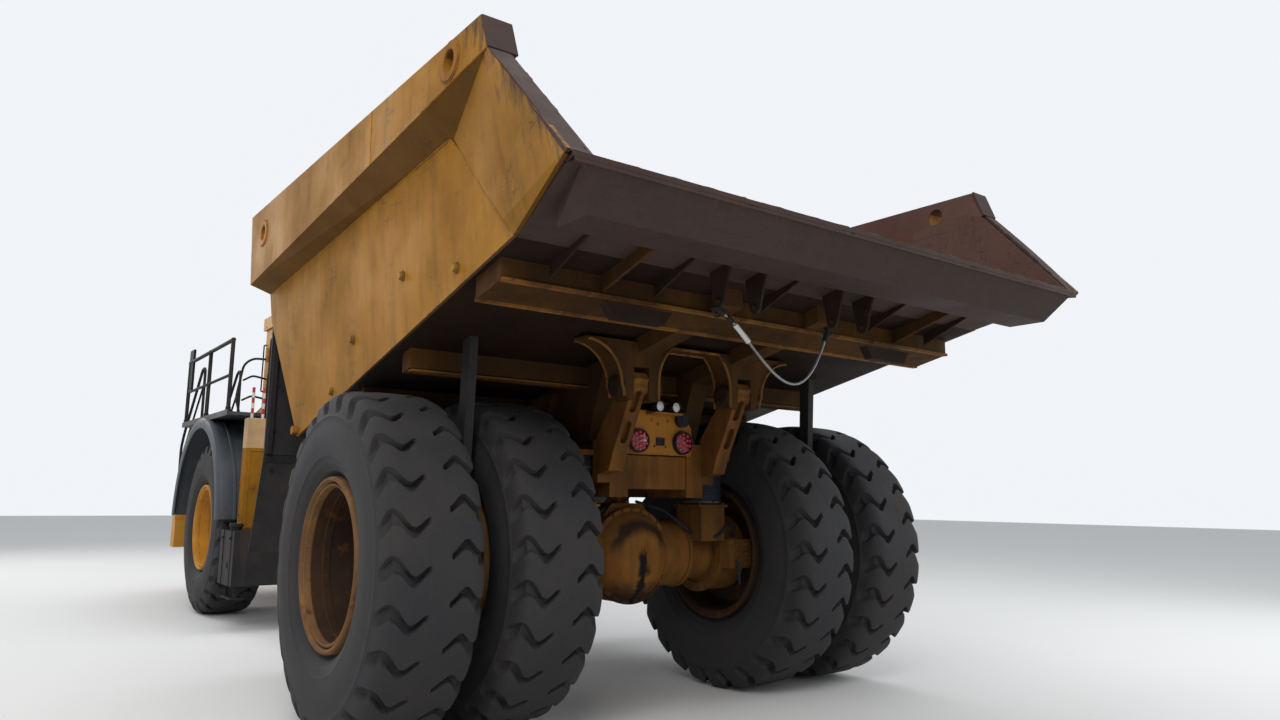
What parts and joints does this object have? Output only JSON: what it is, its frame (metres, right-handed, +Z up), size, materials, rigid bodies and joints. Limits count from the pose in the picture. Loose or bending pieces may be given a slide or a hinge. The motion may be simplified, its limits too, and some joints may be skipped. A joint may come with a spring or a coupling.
{
  "type": "articulated dump truck",
  "caption": "Articulated dump truck with a tractor unit, a steering and rolling hitch, a rear axle on twin wheels and a hydraulically tipped steel dump body.",
  "frame": {"origin": "on the ground, at the middle of the whole truck's length and width", "axes": "+Z up, -Y towards the truck's nose, +X towards the truck's left-hand side"},
  "size_m": [4.5814, 12.52, 3.95],
  "materials": {
    "chassis_paint": "dirty satin",
    "yellow_paint": "worn satin",
    "rust_steel": "rusty",
    "cast_metal": "rough",
    "black_plastic": "matte",
    "black_paint": "satin",
    "tyre": "worn",
    "rim_paint": "dirty satin",
    "rod_chrome": "polished",
    "glazing": "clear",
    "lamp_glass": "clear",
    "red_lens": "gloss",
    "upholstery": "matte",
    "guard_rubber": "matte",
    "cable": "matte"
  },
  "bodies": {
    "rear_frame": {"rear_chassis": "chassis_paint", "tail_panel": "yellow_paint", "tail_lamps": "red_lens", "rear_axle": "chassis_paint", "rear_struts": "black_paint", "propshaft": "cast_metal", "rear_guards": "guard_rubber"},
    "hitch_block": {"hitch": "chassis_paint"},
    "tractor": {"front_chassis": "chassis_paint", "bumper": "yellow_paint", "engine": "cast_metal", "cab_shell": "yellow_paint", "cab_roof": "yellow_paint", "cab_glass": "glazing", "cab_seat": "upholstery", "fenders": "black_plastic", "handrails": "black_paint", "side_tanks": "black_plastic", "front_axle": "chassis_paint", "head_lamps": "lamp_glass"},
    "engine_hood": {"hood": "yellow_paint"},
    "left_door": {"cab_door": "yellow_paint", "door_glass": "glazing"},
    "front_wheel_left": {"tyre_front_left": "tyre", "rim_front_left": "rim_paint"},
    "front_wheel_right": {"tyre_front_right": "tyre", "rim_front_right": "rim_paint"},
    "steering_barrel_left": {"steer_barrel_left": "chassis_paint"},
    "steering_rod_left": {"steer_rod_left": "rod_chrome"},
    "steering_barrel_right": {"steer_barrel_right": "chassis_paint"},
    "steering_rod_right": {"steer_rod_right": "rod_chrome"},
    "rear_wheels_left": {"tyres_rear_left": "tyre", "rim_rear_left": "rim_paint"},
    "rear_wheels_right": {"tyres_rear_right": "tyre", "rim_rear_right": "rim_paint"},
    "dump_body": {"body_floor": "rust_steel", "body_sides": "yellow_paint", "body_tail": "rust_steel", "body_frame": "chassis_paint", "rock_ejectors": "cast_metal", "safety_cable": "cable"},
    "hoist_cylinder_left": {"hoist_barrel_left": "chassis_paint"},
    "hoist_piston_left": {"hoist_rod_left": "rod_chrome"},
    "hoist_cylinder_right": {"hoist_barrel_right": "chassis_paint"},
    "hoist_piston_right": {"hoist_rod_right": "rod_chrome"}
  },
  "joints": [
    {"name": "frame_roll", "type": "hinge", "parent": "rear_frame", "child": "hitch_block", "pos_m": [0, -0.47, 1.24], "axis": [0, 1, 0], "range_deg": [-15, 15]},
    {"name": "steer", "type": "hinge", "parent": "hitch_block", "child": "tractor", "pos_m": [0, -0.47, 1.24], "axis": [0, 0, 1], "range_deg": [-42, 42]},
    {"name": "steer_barrel_left_swing", "type": "hinge", "parent": "tractor", "child": "steering_barrel_left", "pos_m": [0.64, -2.03, 1.24], "axis": [0, 0, 1], "range_deg": [-2, 2]},
    {"name": "steer_rod_left_slide", "type": "slide", "parent": "steering_barrel_left", "child": "steering_rod_left", "axis": [-0.083, 0.9965, 0], "range_m": [-0.36, 0.36]},
    {"name": "front_wheel_left_spin", "type": "hinge", "parent": "tractor", "child": "front_wheel_left", "pos_m": [1.285, -3.27, 1.073], "axis": [1, 0, 0], "continuous": true},
    {"name": "rear_wheels_left_spin", "type": "hinge", "parent": "rear_frame", "child": "rear_wheels_left", "pos_m": [1.561, 3.73, 1.073], "axis": [1, 0, 0], "continuous": true},
    {"name": "steer_barrel_right_swing", "type": "hinge", "parent": "tractor", "child": "steering_barrel_right", "pos_m": [-0.64, -2.03, 1.24], "axis": [0, 0, 1], "range_deg": [-2, 2]},
    {"name": "steer_rod_right_slide", "type": "slide", "parent": "steering_barrel_right", "child": "steering_rod_right", "axis": [0.083, 0.9965, 0], "range_m": [-0.36, 0.36]},
    {"name": "front_wheel_right_spin", "type": "hinge", "parent": "tractor", "child": "front_wheel_right", "pos_m": [-1.285, -3.27, 1.073], "axis": [1, 0, 0], "continuous": true},
    {"name": "rear_wheels_right_spin", "type": "hinge", "parent": "rear_frame", "child": "rear_wheels_right", "pos_m": [-1.561, 3.73, 1.073], "axis": [1, 0, 0], "continuous": true},
    {"name": "body_tip", "type": "hinge", "parent": "rear_frame", "child": "dump_body", "pos_m": [0, 4.51, 2.24], "axis": [-1, 0, 0], "range_deg": [0, 65]},
    {"name": "hoist_barrel_left_swing", "type": "hinge", "parent": "rear_frame", "child": "hoist_cylinder_left", "pos_m": [0.69, 1.93, 0.8], "axis": [1, 0, 0], "range_deg": [-2, 12]},
    {"name": "hoist_rod_left_slide", "type": "slide", "parent": "hoist_cylinder_left", "child": "hoist_piston_left", "axis": [0, 0.7446, 0.6675], "range_m": [-0.01, 1.2]},
    {"name": "hoist_barrel_right_swing", "type": "hinge", "parent": "rear_frame", "child": "hoist_cylinder_right", "pos_m": [-0.69, 1.93, 0.8], "axis": [1, 0, 0], "range_deg": [-2, 12]},
    {"name": "hoist_rod_right_slide", "type": "slide", "parent": "hoist_cylinder_right", "child": "hoist_piston_right", "axis": [0, 0.7446, 0.6675], "range_m": [-0.01, 1.2]},
    {"name": "hood_tilt", "type": "hinge", "parent": "tractor", "child": "engine_hood", "pos_m": [0, -5.93, 1.68], "axis": [1, 0, 0], "range_deg": [0, 65]},
    {"name": "door_swing", "type": "hinge", "parent": "tractor", "child": "left_door", "pos_m": [0.869, -3.52, 3], "axis": [0, 0, -1], "range_deg": [0, 85]}
  ],
  "couplings": [
    {"joint": "steer_barrel_left_swing", "follows": "steer", "ratio": -0.02174},
    {"joint": "steer_rod_left_slide", "follows": "steer", "m_per_rad": -0.46802},
    {"joint": "steer_barrel_right_swing", "follows": "steer", "ratio": -0.02174},
    {"joint": "steer_rod_right_slide", "follows": "steer", "m_per_rad": 0.46802},
    {"joint": "hoist_barrel_left_swing", "follows": "body_tip", "ratio": 0.13416},
    {"joint": "hoist_rod_left_slide", "follows": "body_tip", "m_per_rad": 1.0268},
    {"joint": "hoist_barrel_right_swing", "follows": "body_tip", "ratio": 0.13416},
    {"joint": "hoist_rod_right_slide", "follows": "body_tip", "m_per_rad": 1.0268}
  ]
}
